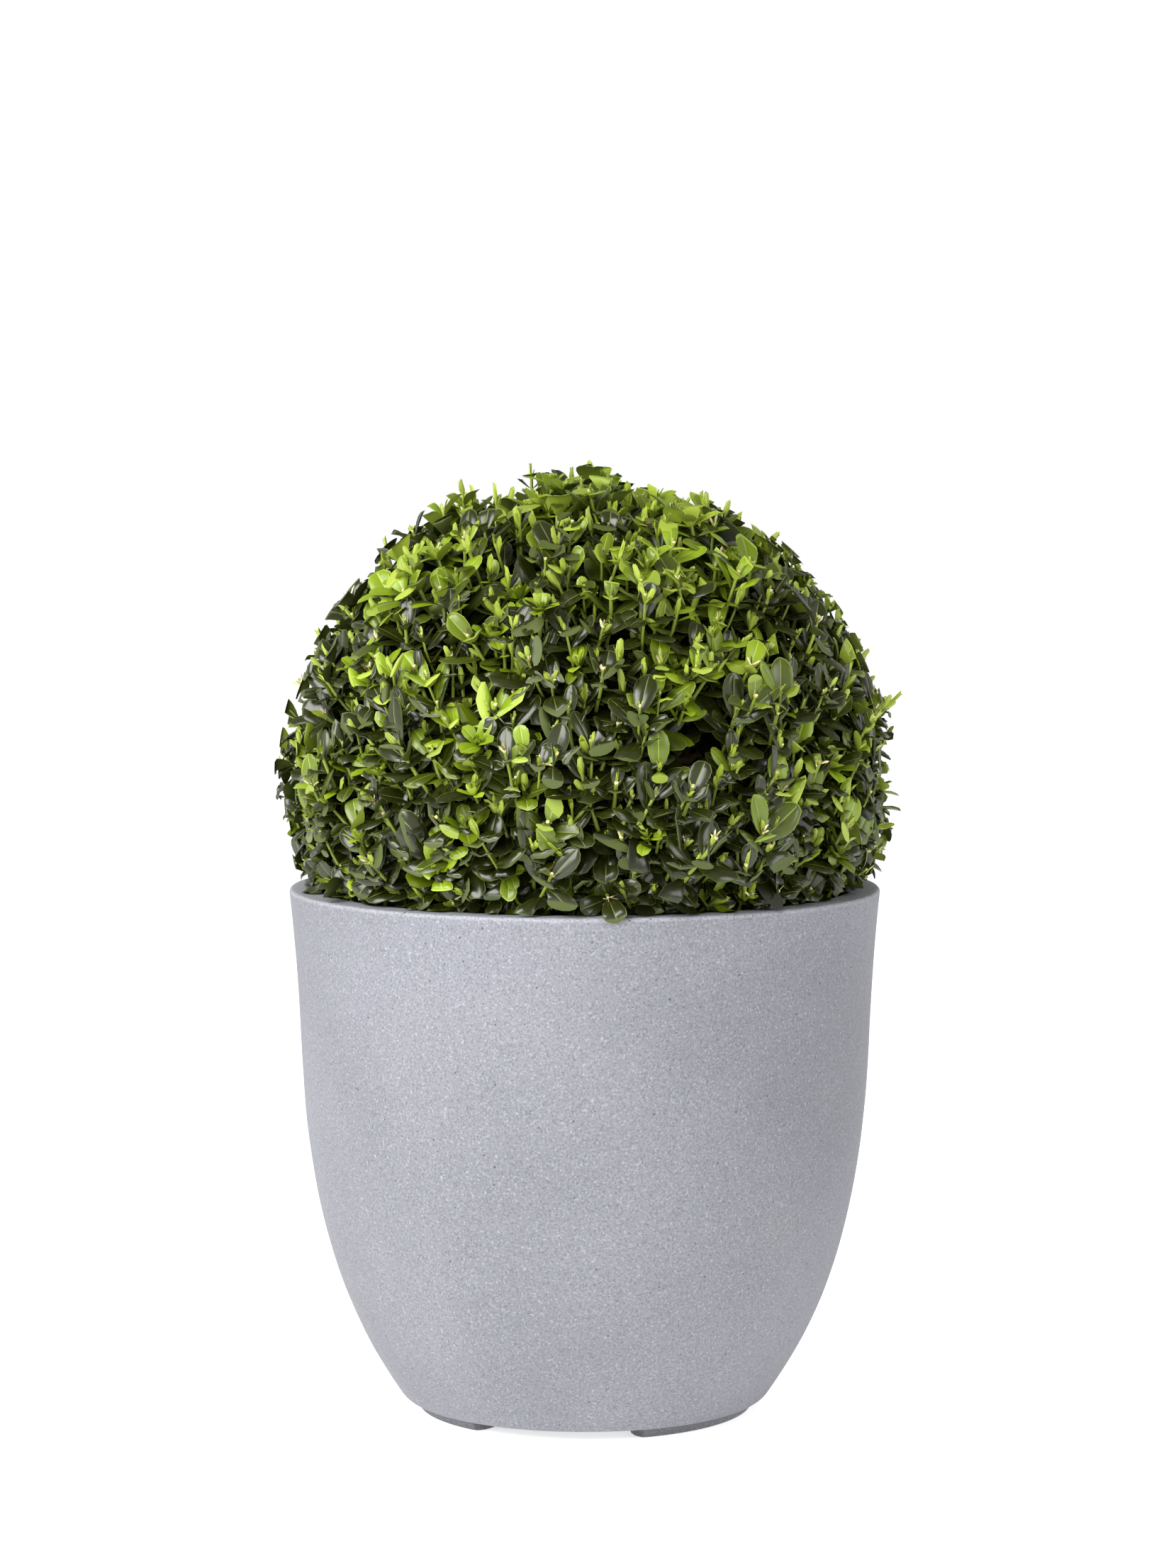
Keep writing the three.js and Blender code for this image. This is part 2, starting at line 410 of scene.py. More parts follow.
def wall_radius(height):
    """Outer radius of the planter's wall at a height."""
    heights = [z for _, z in OUTER_WALL]
    radii = [r for r, _ in OUTER_WALL]
    return float(np.interp(height, heights, radii))


def hollow_radius(height):
    """Inner radius: the thick rim runs down into a thinner wall."""
    below = min(max((RIM_Z - height) / (60 * MM), 0), 1)
    return wall_radius(height) - (RIM_WIDTH + (WALL_THICK - RIM_WIDTH) * below)


def clear_of_wall(point):
    """The point, moved inwards where it would lie in the planter's wall or low over its rim."""
    over_rim = max(0.0, point.z - RIM_Z - WALL_GAP)
    limit = hollow_radius(min(point.z, RIM_Z)) - WALL_GAP + 1.5 * over_rim
    spread = math.hypot(point.x, point.y)
    if spread <= limit:
        return point
    return Vector((point.x * limit / spread, point.y * limit / spread, point.z))


def make_planter(finish):
    underside = [(BASE_FLAT_R * i / 8, BASE_Z) for i in range(8)]
    outer_edge = arc((RIM_R - RIM_EDGE, RIM_Z - RIM_EDGE), RIM_EDGE, 15, 90, 5)
    inner_edge = arc((RIM_INNER_R + RIM_EDGE, RIM_Z - RIM_EDGE), RIM_EDGE, 90, 180, 6)
    rim_top = [(RIM_R - RIM_EDGE - (RIM_WIDTH - 2 * RIM_EDGE) * i / 5, RIM_Z) for i in range(1, 5)]
    floor_z = BASE_Z + FLOOR_THICK
    heights = np.linspace(RIM_Z - 2 * RIM_EDGE, floor_z, 28)
    inside = [(hollow_radius(z), z) for z in heights]
    floor = [(inside[-1][0] * (1 - i / 5), floor_z) for i in range(1, 6)]
    profile = [*underside, *BASE_ARC, *OUTER_WALL[1:], *outer_edge, *rim_top, *inner_edge, *inside, *floor]
    mesh = turned_mesh("planter_shell", profile, segments=190)
    for vertex in mesh.vertices:
        uneven_cast(vertex)
    mesh.materials.append(finish)
    return linked("planter_shell", mesh)


def uneven_cast(vertex):
    """Slight waves of a hand-finished casting, and small chips along the rim's edges."""
    place = vertex.co.copy()
    outward = Vector((place.x, place.y, 0)).normalized()
    broad = noise.noise(place * 14) * 0.5 * MM
    fine = noise.noise(place * 45) * 0.12 * MM
    vertex.co += outward * (broad + fine)
    near_rim = RIM_Z - place.z < 2.5 * RIM_EDGE
    if near_rim:
        chip = max(0.0, noise.noise(place * 170) - 0.42)
        vertex.co.z -= chip * 2.2 * MM + abs(noise.noise(place * 60)) * 0.15 * MM


def make_feet(finish):
    """Three feet, each an arc of one low ring with rounded edges, drawn in towards the ground."""
    outer = BASE_FLAT_R
    inner = BASE_FLAT_R - FOOT_WIDTH - FOOT_BEVEL
    rounding = ((-0.3, 1), (0.3, 0.25), (1.2, 0))
    inner_side = [(inner + FOOT_BEVEL + x * FOOT_EDGE, z * FOOT_EDGE) for x, z in rounding]
    outer_side = [(outer - FOOT_BEVEL - x * FOOT_EDGE, z * FOOT_EDGE) for x, z in reversed(rounding)]
    section = [(inner, BASE_Z), *inner_side, *outer_side, (outer, BASE_Z)]
    middle_r = (outer + inner) / 2
    steps = 36
    verts = []
    faces = []
    for azimuth in FOOT_AZIMUTHS:
        start = len(verts)
        for i in range(steps + 1):
            share = 2 * i / steps - 1
            # The two ends are drawn in, so that they round off like the sides.
            narrow = max(0.0, abs(share) - FOOT_STRAIGHT) / (1 - FOOT_STRAIGHT)
            width = math.sqrt(max(0.0, 1 - narrow**2 * 0.75))
            angle = math.radians(azimuth + share * FOOT_SPAN / 2)
            for r, z in section:
                radius = middle_r + (r - middle_r) * width
                verts.append((radius * math.sin(angle), -radius * math.cos(angle), z + 0.4 * MM * narrow))
        count = len(section)
        for i in range(steps):
            for j in range(count):
                a = start + i * count + j
                b = start + i * count + (j + 1) % count
                faces.append((a, b, b + count, a + count))
        faces.append(tuple(start + j for j in reversed(range(count))))
        faces.append(tuple(start + steps * count + j for j in range(count)))
    mesh = mesh_of("planter_feet", verts, [], faces)
    mesh.shade_smooth()
    mesh.set_sharp_from_angle(angle=math.radians(40))
    mesh.materials.append(finish)
    return linked("planter_feet", mesh)


def make_compost(finish):
    """The planter's filling: a crumbly top over a body that follows the planter's inside."""
    floor_z = BASE_Z + FLOOR_THICK + 0.5 * MM
    heights = np.linspace(floor_z, COMPOST_TOP - 3 * MM, 12)
    side = [(hollow_radius(z) - 0.5 * MM, z) for z in heights]
    rings = 70
    edge = side[-1][0]
    top = [(edge * i / rings, COMPOST_TOP - 2 * MM) for i in range(rings - 1, -1, -1)]
    mesh = turned_mesh("compost_bed", [(0, floor_z), *side, *top], segments=160)
    for vertex in mesh.vertices:
        if vertex.co.z > COMPOST_TOP - 2.5 * MM:
            place = vertex.co
            vertex.co.z += noise.noise(place * 40) * 2 * MM + noise.noise(place * 190) * 1.4 * MM
    mesh.materials.append(finish)
    return linked("compost_bed", mesh)


def crumb_rule():
    """Scatters small lumps over a mesh's faces."""
    rule = Rule("crumbs", {"Density": "Float", "Smallest": "Float", "Largest": "Float", "Lump": "Material"})
    scatter = {"Mesh": rule.given("Geometry"), "Density": rule.given("Density"), "Seed": SEED}
    points = rule.node("GeometryNodeDistributePointsOnFaces", None, scatter)
    lump = rule.node("GeometryNodeMeshIcoSphere", None, {"Radius": 1.0, "Subdivisions": 1})
    size = {2: rule.given("Smallest"), 3: rule.given("Largest"), "Seed": SEED + 1}
    scale = rule.node("FunctionNodeRandomValue", {"data_type": "FLOAT"}, size, 1)
    flat = {0: (-3.1, -3.1, -3.1), 1: (3.1, 3.1, 3.1), "Seed": SEED + 2}
    turn = rule.node("FunctionNodeRandomValue", {"data_type": "FLOAT_VECTOR"}, flat)
    place = {"Points": points, "Instance": lump, "Rotation": turn, "Scale": scale}
    lumps = rule.node("GeometryNodeInstanceOnPoints", None, place)
    lumps = rule.node("GeometryNodeRealizeInstances", None, {"Geometry": lumps})
    jag = rule.noise(rule.node("GeometryNodeInputPosition"), 500)
    shift = rule.node("GeometryNodeInputNormal") * ((jag - 0.5) * (1.2 * MM))
    rule.end(rule.dressed(rule.moved(lumps, shift), rule.given("Lump")))
    return rule


def make_crumbs(finish):
    """Loose crumbs of compost on the bed."""
    edge = hollow_radius(COMPOST_TOP) - 4 * MM
    disc = [(0, COMPOST_TOP), (edge, COMPOST_TOP), (0, COMPOST_TOP - 0.1 * MM)]
    mesh = turned_mesh("crumb_ground", disc, segments=48)
    values = {"Density": 9000.0, "Smallest": 0.8 * MM, "Largest": 2.4 * MM, "Lump": finish}
    return crumb_rule().run("compost_crumbs", mesh, values)


# ---- the clipped ball ----


def even_directions(count):
    """Directions spread evenly over a sphere, from top to bottom."""
    directions = []
    for i in range(count):
        up = 1 - (2 * i + 1) / count
        level = math.sqrt(1 - up * up)
        angle = GOLDEN_ANGLE * i
        directions.append(Vector((level * math.cos(angle), level * math.sin(angle), up)))
    return directions


WAVES = even_directions(len(WAVE_LENGTHS) * WAVES_PER_LENGTH)


def clipped_radius(direction):
    """Distance from the ball's centre to the surface that the shears left."""
    point = direction * BALL_R
    height = 0.0
    for i, wave in enumerate(WAVES):
        length = WAVE_LENGTHS[i % len(WAVE_LENGTHS)]
        height += WAVE_HEIGHT * math.sin(2 * math.pi * point.dot(wave) / length + i * i)
    return BALL_R + height


# The kinds of shoot: how common each is, how far in millimetres its tip lies below the clipped surface
# and its first pair below the tip, and each pair's angle to the stem and size, from the tip back.
ShootKind = namedtuple("ShootKind", "share depth first_pair angles sizes")
SHOOT_KINDS = {
    "cut": ShootKind(
        0.54, (0, 5), (2, 8), (31, 48, 60, 66, 70, 74), (1.0, 1.05, 1.02, 0.98, 0.92, 0.85)
    ),
    "whole": ShootKind(
        0.36, (8, 19), (1.5, 5), (40, 54, 62, 68, 72, 75), (0.72, 0.92, 1.02, 1.04, 0.98, 0.88)
    ),
    "tuft": ShootKind(
        0.10, (3, 11), (5, 9), (58, 62, 66, 70, 72, 75), (0.85, 1.0, 1.0, 0.98, 0.92, 0.88)
    ),
}

# The ages of shoot: how common each is where the patch value is 0, how that grows with the value, and the
# tints of its pairs from the tip back. New growth is brightest.
# The tint of the last pairs, deepest in the ball, is partly the old leaves' own darker green and partly
# painted shade for the ball's inside.
AGES = (
    (0.74, -0.8, ("dark", "dark", "dark", "deep", "deep", "deep")),
    (0.18, 0.1, ("fresh", "olive", "dark", "dark", "deep", "deep")),
    (0.06, 0.35, ("young", "fresh", "olive", "dark", "dark", "deep")),
    (0.03, 0.3, ("young", "young", "fresh", "olive", "dark", "deep")),
)
LEAST_SHARE = 0.02


def choose_tints(rng, direction):
    """Newer greens come in patches, most of them towards the top and the right."""
    patch = noise.noise(direction * 2.3 + Vector((4.1, 0.3, 7.7)))
    patch += 1.0 * max(0.0, direction.z - 0.25) + 0.2 * direction.x
    weights = [max(LEAST_SHARE, share + change * patch) for share, change, _ in AGES]
    return rng.choices([tints for _, _, tints in AGES], weights)[0]


def scatter(rng, spread):
    return Vector([rng.gauss(0, spread) for _ in range(3)])


class Tip:
    """The end of one shoot: its kind, where it stops, which way it points and its leaves' size and tints."""

    def __init__(self, rng, direction, skirt=False):
        self.normal = direction
        self.reach = clipped_radius(direction) + rng.gauss(0, CUT_SPREAD) * MM
        self.kind = rng.choices(tuple(SHOOT_KINDS), [kind.share for kind in SHOOT_KINDS.values()])[0]
        depth = rng.uniform(*SHOOT_KINDS[self.kind].depth) * MM
        if rng.random() < STRAY_SHARE:
            depth = rng.uniform(-2, 2) * MM
            self.reach += STRAY_GROWTH
        self.end = BALL_CENTRE + direction * (self.reach - depth)
        # Shoots turn up towards the light, less so on the ball's underside.
        rise = 1.0 if direction.z > -0.1 else 1.0 + 1.2 * direction.z
        sway = scatter(rng, 0.22)
        heading = direction * 0.62 + UP * rise + sway
        if skirt:
            # Shoots of the skirt lean out of the planter's mouth, just over its rim.
            level = Vector((direction.x, direction.y, 0)).normalized()
            out = RIM_INNER_R + rng.uniform(-16, 0) * MM
            self.end = level * out + UP * (RIM_Z + rng.uniform(3, 20) * MM)
            heading = level * 0.9 + UP * 0.55 + sway
            self.kind = "whole"
        self.end = clear_of_wall(self.end)
        self.heading = heading.normalized()
        self.foot = self.end - self.heading * SHOOT_LENGTH
        self.vigour = rng.uniform(0.8, 1.3)
        self.leaf = rng.triangular(*LEAF_LENGTHS)
        self.tints = choose_tints(rng, direction)


def shoot_tips(rng):
    """Tips all over the ball above the rim, with a few bare patches, and the skirt in the mouth."""
    tips = []
    for direction in even_directions(SHOOT_COUNT):
        direction = (direction + scatter(rng, 0.022)).normalized()
        over_rim = BALL_CENTRE.z + BALL_R * direction.z > RIM_Z + 4 * MM
        thin = noise.noise(direction * 6.5 + Vector((1.7, 9.2, 3.1))) < -0.28
        bare = thin and rng.random() < 0.6
        if over_rim and not bare:
            tips.append(Tip(rng, direction))
    for i in range(SKIRT_COUNT):
        angle = 2 * math.pi * (i + rng.uniform(-0.4, 0.4)) / SKIRT_COUNT
        direction = Vector((math.cos(angle), math.sin(angle), -SKIRT_FALL)).normalized()
        tips.append(Tip(rng, direction, skirt=True))
    return tips


# ---- growth ----


def bent(start, heading, end, arrival, steps):
    """Points on a smooth curve that leaves start along heading and reaches end along arrival."""
    reach = (end - start).length * 0.9
    points = []
    for i in range(steps + 1):
        t = i / steps
        leave = (2 * t**3 - 3 * t**2 + 1) * start + (t**3 - 2 * t**2 + t) * reach * heading
        arrive = (3 * t**2 - 2 * t**3) * end + (t**3 - t**2) * reach * arrival
        points.append(leave + arrive)
    return points


def spun(vector, axis, angle):
    """A copy of a vector, turned about an axis."""
    copy = vector.copy()
    copy.rotate(Matrix.Rotation(angle, 3, axis))
    return copy


def square_to(axis, vector):
    """The direction of a vector's part that is square to an axis."""
    return (vector - axis * vector.dot(axis)).normalized()


def leaning(stem, across, angle):
    """The direction of a leaf that leans out from its stem, and the way its upper side faces."""
    along = stem * math.cos(angle) + across * math.sin(angle)
    return along, stem * math.sin(angle) - across * math.cos(angle)


Leaf = namedtuple("Leaf", "tint shape point along face size reach curl")


class Growth:
    """Grows the shrub: limbs by kind, and the leaves that its shoots carry."""

    TWIG_R = 1.15 * MM  # at the foot of a shoot
    THICKENING = 0.34  # a limb is as thick as its count of shoots to this power

    def __init__(self, seed):
        self.rng = random.Random(seed)
        self.limbs = {"bough": [], "branch": [], "twig": [], "stub": []}
        self.leaves = []

    def thickness(self, shoots):
        return self.TWIG_R * shoots**self.THICKENING

    def add_limb(self, kind, points, start_r, end_r):
        last = len(points) - 1
        radii = [start_r + (end_r - start_r) * i / last for i in range(last + 1)]
        self.limbs[kind].append((points, radii))

    def stem(self):
        """The main stem, with its root flare."""
        points = []
        radii = []
        steps = 12
        foot_r, fork_r = STEM_RADII
        for i in range(steps + 1):
            share = i / steps
            points.append(STEM_FOOT.lerp(STEM_FORK, share))
            radii.append(foot_r + (fork_r - foot_r) * share + FLARE * math.exp(-FLARE_FADE * share))
        self.limbs["bough"].append((points, radii))

    def grow(self, tips):
        """Boughs leave the stem by sectors, one of them upwards, and each one forks on."""
        self.stem()
        upper = []
        sides = [[] for _ in range(SIDE_BOUGHS)]
        for tip in tips:
            turn = math.atan2(tip.normal.y, tip.normal.x) / (2 * math.pi) + 0.5
            group = upper if tip.normal.z > UPRIGHT else sides[int(turn * SIDE_BOUGHS) % SIDE_BOUGHS]
            group.append(tip)
        for i, group in enumerate([upper, *sides]):
            start = STEM_FORK + UP * (-2 - 3.2 * (i % 4)) * MM
            self.fork(start, UP, group, 0)

    def fork(self, start, heading, tips, rank):
        """One limb on to the next fork, or the last shoots."""
        if len(tips) <= 2:
            for tip in tips:
                self.shoot(start, heading, tip)
            return
        rng = self.rng
        middle = sum((tip.foot for tip in tips), Vector()) / len(tips)
        share = rng.uniform(0.42, 0.56) if rank else 0.5
        sway = scatter(rng, 0.05) * (middle - start).length
        end = start.lerp(middle, share) + sway
        arrival = ((middle - start).normalized() + UP * 0.15).normalized()
        kind = "bough" if rank < 2 else "branch"
        points = bent(start, heading, end, arrival, 8 if kind == "bough" else 3)
        self.add_limb(kind, points, self.thickness(len(tips)), self.thickness(len(tips) * 0.6))
        for group in self.parted(tips):
            self.fork(end, arrival, group, rank + 1)

    def parted(self, tips):
        """Splits tips in two across their widest direction."""
        feet = np.array([tuple(tip.foot) for tip in tips])
        axis = int(np.argmax(feet.var(axis=0)))
        order = np.argsort(feet[:, axis], kind="stable")
        cut = round(len(tips) * self.rng.uniform(0.38, 0.62))
        cut = min(max(cut, 1), len(tips) - 1)
        return [[tips[i] for i in order[:cut]], [tips[i] for i in order[cut:]]]

    def shoot(self, start, heading, tip):
        """One leafy shoot to its tip."""
        rng = self.rng
        points = bent(start, heading, tip.end, tip.heading, 6)
        if any(clear_of_wall(point) != point for point in points):
            points = [clear_of_wall(point) for point in bent(start, heading, tip.end, tip.heading, 18)]
        self.add_limb("twig", points, self.TWIG_R * tip.vigour * 1.15, self.TWIG_R * tip.vigour * 0.75)
        lengths = [(b - a).length for a, b in zip(points, points[1:])]
        total = sum(lengths)
        stem = tip.heading
        side = stem.cross(UP if abs(stem.z) < 0.9 else Vector((1, 0, 0))).normalized()
        side = spun(side, stem, rng.uniform(0, math.pi))
        distance = rng.uniform(*SHOOT_KINDS[tip.kind].first_pair) * MM
        if tip.kind == "cut":
            self.cut_end(tip)
        elif tip.kind == "whole":
            self.spear(tip.end, stem, side, rng.uniform(10, 17) * MM)
        else:
            self.rosette(tip.end, stem, side, tip.vigour)
        for rank in range(PAIRS):
            if distance > total - 4 * MM:
                break
            point, stem = self.walk_back(points, lengths, distance)
            self.pair(point, stem, side, rank, tip)
            if rank == 0 or rng.random() < 0.12:
                self.side_shoots(point, stem, side)
            distance += rng.uniform(*INTERNODE) * (0.7, 0.85, 1, 1, 1, 1)[rank]
            side = spun(side, stem, math.pi / 2 + rng.gauss(0, 0.2))

    @staticmethod
    def walk_back(points, lengths, distance):
        """The place and direction of a shoot at a distance back from its tip."""
        for i in range(len(lengths) - 1, -1, -1):
            if distance <= lengths[i]:
                place = points[i + 1].lerp(points[i], distance / lengths[i])
                return place, (points[i + 1] - points[i]).normalized()
            distance -= lengths[i]
        return points[0].copy(), (points[1] - points[0]).normalized()

    def pair(self, point, stem, side, rank, tip):
        """Two leaves across from each other. Now and then an old one is missing or withered."""
        rng = self.rng
        kind = SHOOT_KINDS[tip.kind]
        side = square_to(stem, side)
        light = tip.normal * 0.9 + UP * 0.35
        for hand in (1, -1):
            if rank > 1 and rng.random() < 0.08:
                continue
            across = side * hand
            outward = max(0.0, across.dot(tip.normal))
            angle = math.radians(kind.angles[rank] + 28 * outward + rng.gauss(0, 9))
            along, face = leaning(stem, across, angle)
            turn = rng.uniform(0.1, 0.7) if rank == 0 else rng.uniform(0.6, 1.5)
            face += UP * 0.8 * outward + light * turn
            size = tip.leaf * kind.sizes[rank] * rng.uniform(0.86, 1.1)
            if rank <= 1:
                shape = rng.choice(("fine_oval", "fine_oval", "fine_long", "fine_notched", "fine_folded"))
            elif rank <= 3:
                shape = rng.choice(("mid_oval", "mid_long", "mid_notched"))
            else:
                shape = "plain_oval"
            tint = tip.tints[rank]
            if rank > 1 and rng.random() < 0.001:
                shape, tint = "clasping", "withered"
            sheared = tip.kind == "cut" or (outward > 0.5 and rng.random() < 0.8)
            reach = tip.reach + (rng.uniform(-1.5, 2) if sheared else rng.uniform(2, 6)) * MM
            self.leaf(point + across * self.TWIG_R * 0.7, along, face, size, shape, tint, reach)

    def leaf(self, point, along, face, size, shape, tint, reach=1.0, curl=None):
        """Notes one leaf, unless it would grow through the planter's wall."""
        along = along.normalized()
        face = square_to(along, face)
        tip = point + along * size
        spread = max(math.hypot(tip.x, tip.y), math.hypot(point.x, point.y))
        if min(tip.z, point.z) < RIM_Z - WALL_GAP and spread > RIM_INNER_R - WALL_GAP - 1 * MM:
            return
        if curl is None:
            curl = self.rng.gauss(0.1, 0.12)
        self.leaves.append(Leaf(tint, shape, point, along, face, size, reach, curl))

    def side_shoots(self, point, stem, side):
        """New shoots, still closed, that break from the crooks of a leaf pair."""
        rng = self.rng
        for hand in (1, -1):
            if rng.random() < 0.62:
                continue
            heading, _ = leaning(stem, side * hand, math.radians(rng.uniform(12, 26)))
            turned = side.cross(heading).normalized()
            size = rng.uniform(7, 14) * MM
            self.spear(point + heading * 2 * MM, heading.normalized(), turned, size)

    def rosette(self, end, stem, side, vigour):
        """Young leaves that have just opened at a tip."""
        rng = self.rng
        point = end.copy()
        tint = rng.choice(("young", "young", "lime", "fresh"))
        size = rng.uniform(10, 15) * MM * vigour
        for rank in range(rng.randint(3, 4)):
            across = square_to(stem, side)
            for hand in (1, -1):
                angle = math.radians(14 + 18 * rank + rng.gauss(0, 6))
                along, face = leaning(stem, across * hand, angle)
                grown = size * (0.55, 0.8, 1.0, 1.05)[rank] * rng.uniform(0.88, 1.12)
                self.leaf(point, along, face, grown, "spoon", tint, curl=rng.gauss(0.1, 0.1))
            point -= stem * rng.uniform(1.3, 2.8) * MM
            side = spun(side, stem, math.pi / 2 + rng.gauss(0, 0.15))

    def spear(self, end, stem, side, size):
        """A closed shoot tip: two pairs of narrow young leaves, clasped round each other."""
        rng = self.rng
        for i in range(4):
            across = spun(side, stem, i * math.pi / 2)
            outer = i % 2 == 0
            lean = math.radians(rng.uniform(3, 9) if outer else rng.uniform(9, 24))
            along, face = leaning(stem, across, lean)
            grown = size * (1.0 if outer else 0.55) * rng.uniform(0.85, 1.1)
            start = end - stem * 2 * MM + across * 0.5 * MM
            self.leaf(start, along, face, grown, "clasping", "bud", curl=-0.06)

    def cut_end(self, tip):
        """The pale end of a cut stem, often frayed into dry scales where it has died back."""
        rng = self.rng
        radius = self.TWIG_R * tip.vigour * 0.82
        cut = tip.end + tip.heading * 0.5 * MM
        self.add_limb("stub", [cut - tip.heading * 1.2 * MM, cut], radius, radius)
        for _ in range(rng.randint(1, 4)):
            across = square_to(tip.heading, scatter(rng, 1))
            along = tip.heading + across * rng.uniform(0.15, 0.6)
            start = tip.end - tip.heading * rng.uniform(0.5, 5) * MM + across * radius
            self.leaf(start, along, -across, rng.uniform(2.5, 6) * MM, "clasping", "bud", curl=0.0)
        if rng.random() < 0.6:
            return
        for _ in range(rng.randint(3, 7)):
            across = scatter(rng, 1).normalized()
            along = tip.heading + across * rng.uniform(0.3, 1.1)
            size = rng.uniform(2.5, 7) * MM
            start = tip.end - tip.heading * rng.uniform(0.5, 4) * MM
            tint = rng.choice(("straw", "straw", "straw", "withered"))
            self.leaf(start, along, across.cross(along), size, "scale", tint, curl=rng.gauss(0, 0.3))


# ---- leaf shapes ----

UPPER, RIB, UNDER = 0, 1, 2


def half_width(t, base_power, tip_power, round_power):
    """Half the width of a leaf at a share of its length, not yet scaled."""
    return t**base_power * max(0.0, 1 - t**tip_power) ** round_power


class LeafShape:
    """One leaf of unit length along +Y, its upper side up: a sheet with a rib and a paler underside."""

    MARGIN = 0.017  # how far the underside shows past the upper side, as the leaf's pale edge

    def __init__(self, name, breadth, outline, rows, columns, arch=0.2, droop=0.15, fold=0.0, under=True):
        self.breadth = breadth
        self.outline = outline
        self.arch = arch
        self.droop = droop
        self.fold = fold
        self.widest = max(half_width(i / 40, *outline) for i in range(41))
        self.verts = []
        self.faces = []
        self.sides = []
        self.sheet(rows, columns, 0.0, 0.0, False)
        if under:
            self.sheet(rows, (-1, 0, 1), self.MARGIN, 0.006, True)
        self.object = self.build(name)

    def width_at(self, t):
        return self.breadth * half_width(t, *self.outline) / self.widest

    def sheet(self, rows, columns, margin, depth, under):
        start = len(self.verts)
        for row in range(rows + 1):
            t = 0.5 - 0.5 * math.cos(math.pi * (row / rows) ** 0.92)
            edge = min(1.0, 4 * t)
            width = self.width_at(t) + margin * edge
            for s in columns:
                hump = self.arch * (1 - (2 * abs(s) - 1) ** 2) - self.droop * s * s + self.fold * abs(s)
                self.verts.append((s * width, t * (1 + margin), hump * width - depth))
        count = len(columns)
        for row in range(rows):
            for j in range(count - 1):
                a = start + row * count + j
                quad = (a, a + 1, a + 1 + count, a + count)
                self.faces.append(quad[::-1] if under else quad)
                narrow = abs(columns[j + 1] - columns[j]) < 0.2
                self.sides.append(UNDER if under else RIB if narrow else UPPER)

    def build(self, name):
        mesh = mesh_of(name, self.verts, [], self.faces)
        store(mesh, "side", "INT", self.sides, "FACE")
        store(mesh, "length_share", "FLOAT", [vert[1] for vert in self.verts])
        mesh.shade_smooth()
        return bpy.data.objects.new(name, mesh)


def make_leaf_shapes():
    """All leaf shapes, in a collection that keeps them out of the scene."""
    ribbed = (-1, -0.55, -0.05, 0.05, 0.55, 1)
    creased = (-1, -0.5, 0, 0.5, 1)
    plain = (-1, 0, 1)
    oval = (0.62, 2.6, 0.6)
    long = (0.7, 2.2, 0.66)
    notched = (0.62, 3.8, 0.48)
    kinds = {
        "fine_oval": (0.265, oval, 7, ribbed, {"fold": 0.12}),
        "fine_long": (0.21, long, 7, ribbed, {"droop": 0.25}),
        "fine_notched": (0.28, notched, 7, ribbed, {"droop": 0.0, "fold": 0.22}),
        "fine_folded": (0.255, oval, 7, ribbed, {"droop": 0.0, "fold": 0.35}),
        "mid_oval": (0.265, oval, 4, creased, {}),
        "mid_long": (0.21, long, 4, creased, {"droop": 0.25}),
        "mid_notched": (0.28, notched, 4, creased, {}),
        "plain_oval": (0.25, oval, 4, plain, {"fold": 0.1, "under": False}),
        "spoon": (0.29, notched, 5, ribbed, {"droop": 0.0, "fold": 0.3}),
        "clasping": (0.145, oval, 4, plain, {"arch": 0, "droop": 0, "fold": 0.8, "under": False}),
        "scale": (0.11, long, 3, plain, {"fold": -0.5, "under": False}),
    }
    shapes = {}
    for number, (name, (breadth, outline, rows, columns, bends)) in enumerate(kinds.items()):
        # The number keeps the collection in this order.
        shapes[name] = LeafShape(f"{number:02}_{name}", breadth, outline, rows, columns, **bends)
    collection = bpy.data.collections.new("leaf_shapes")
    for shape in shapes.values():
        collection.objects.link(shape.object)
    return shapes, collection


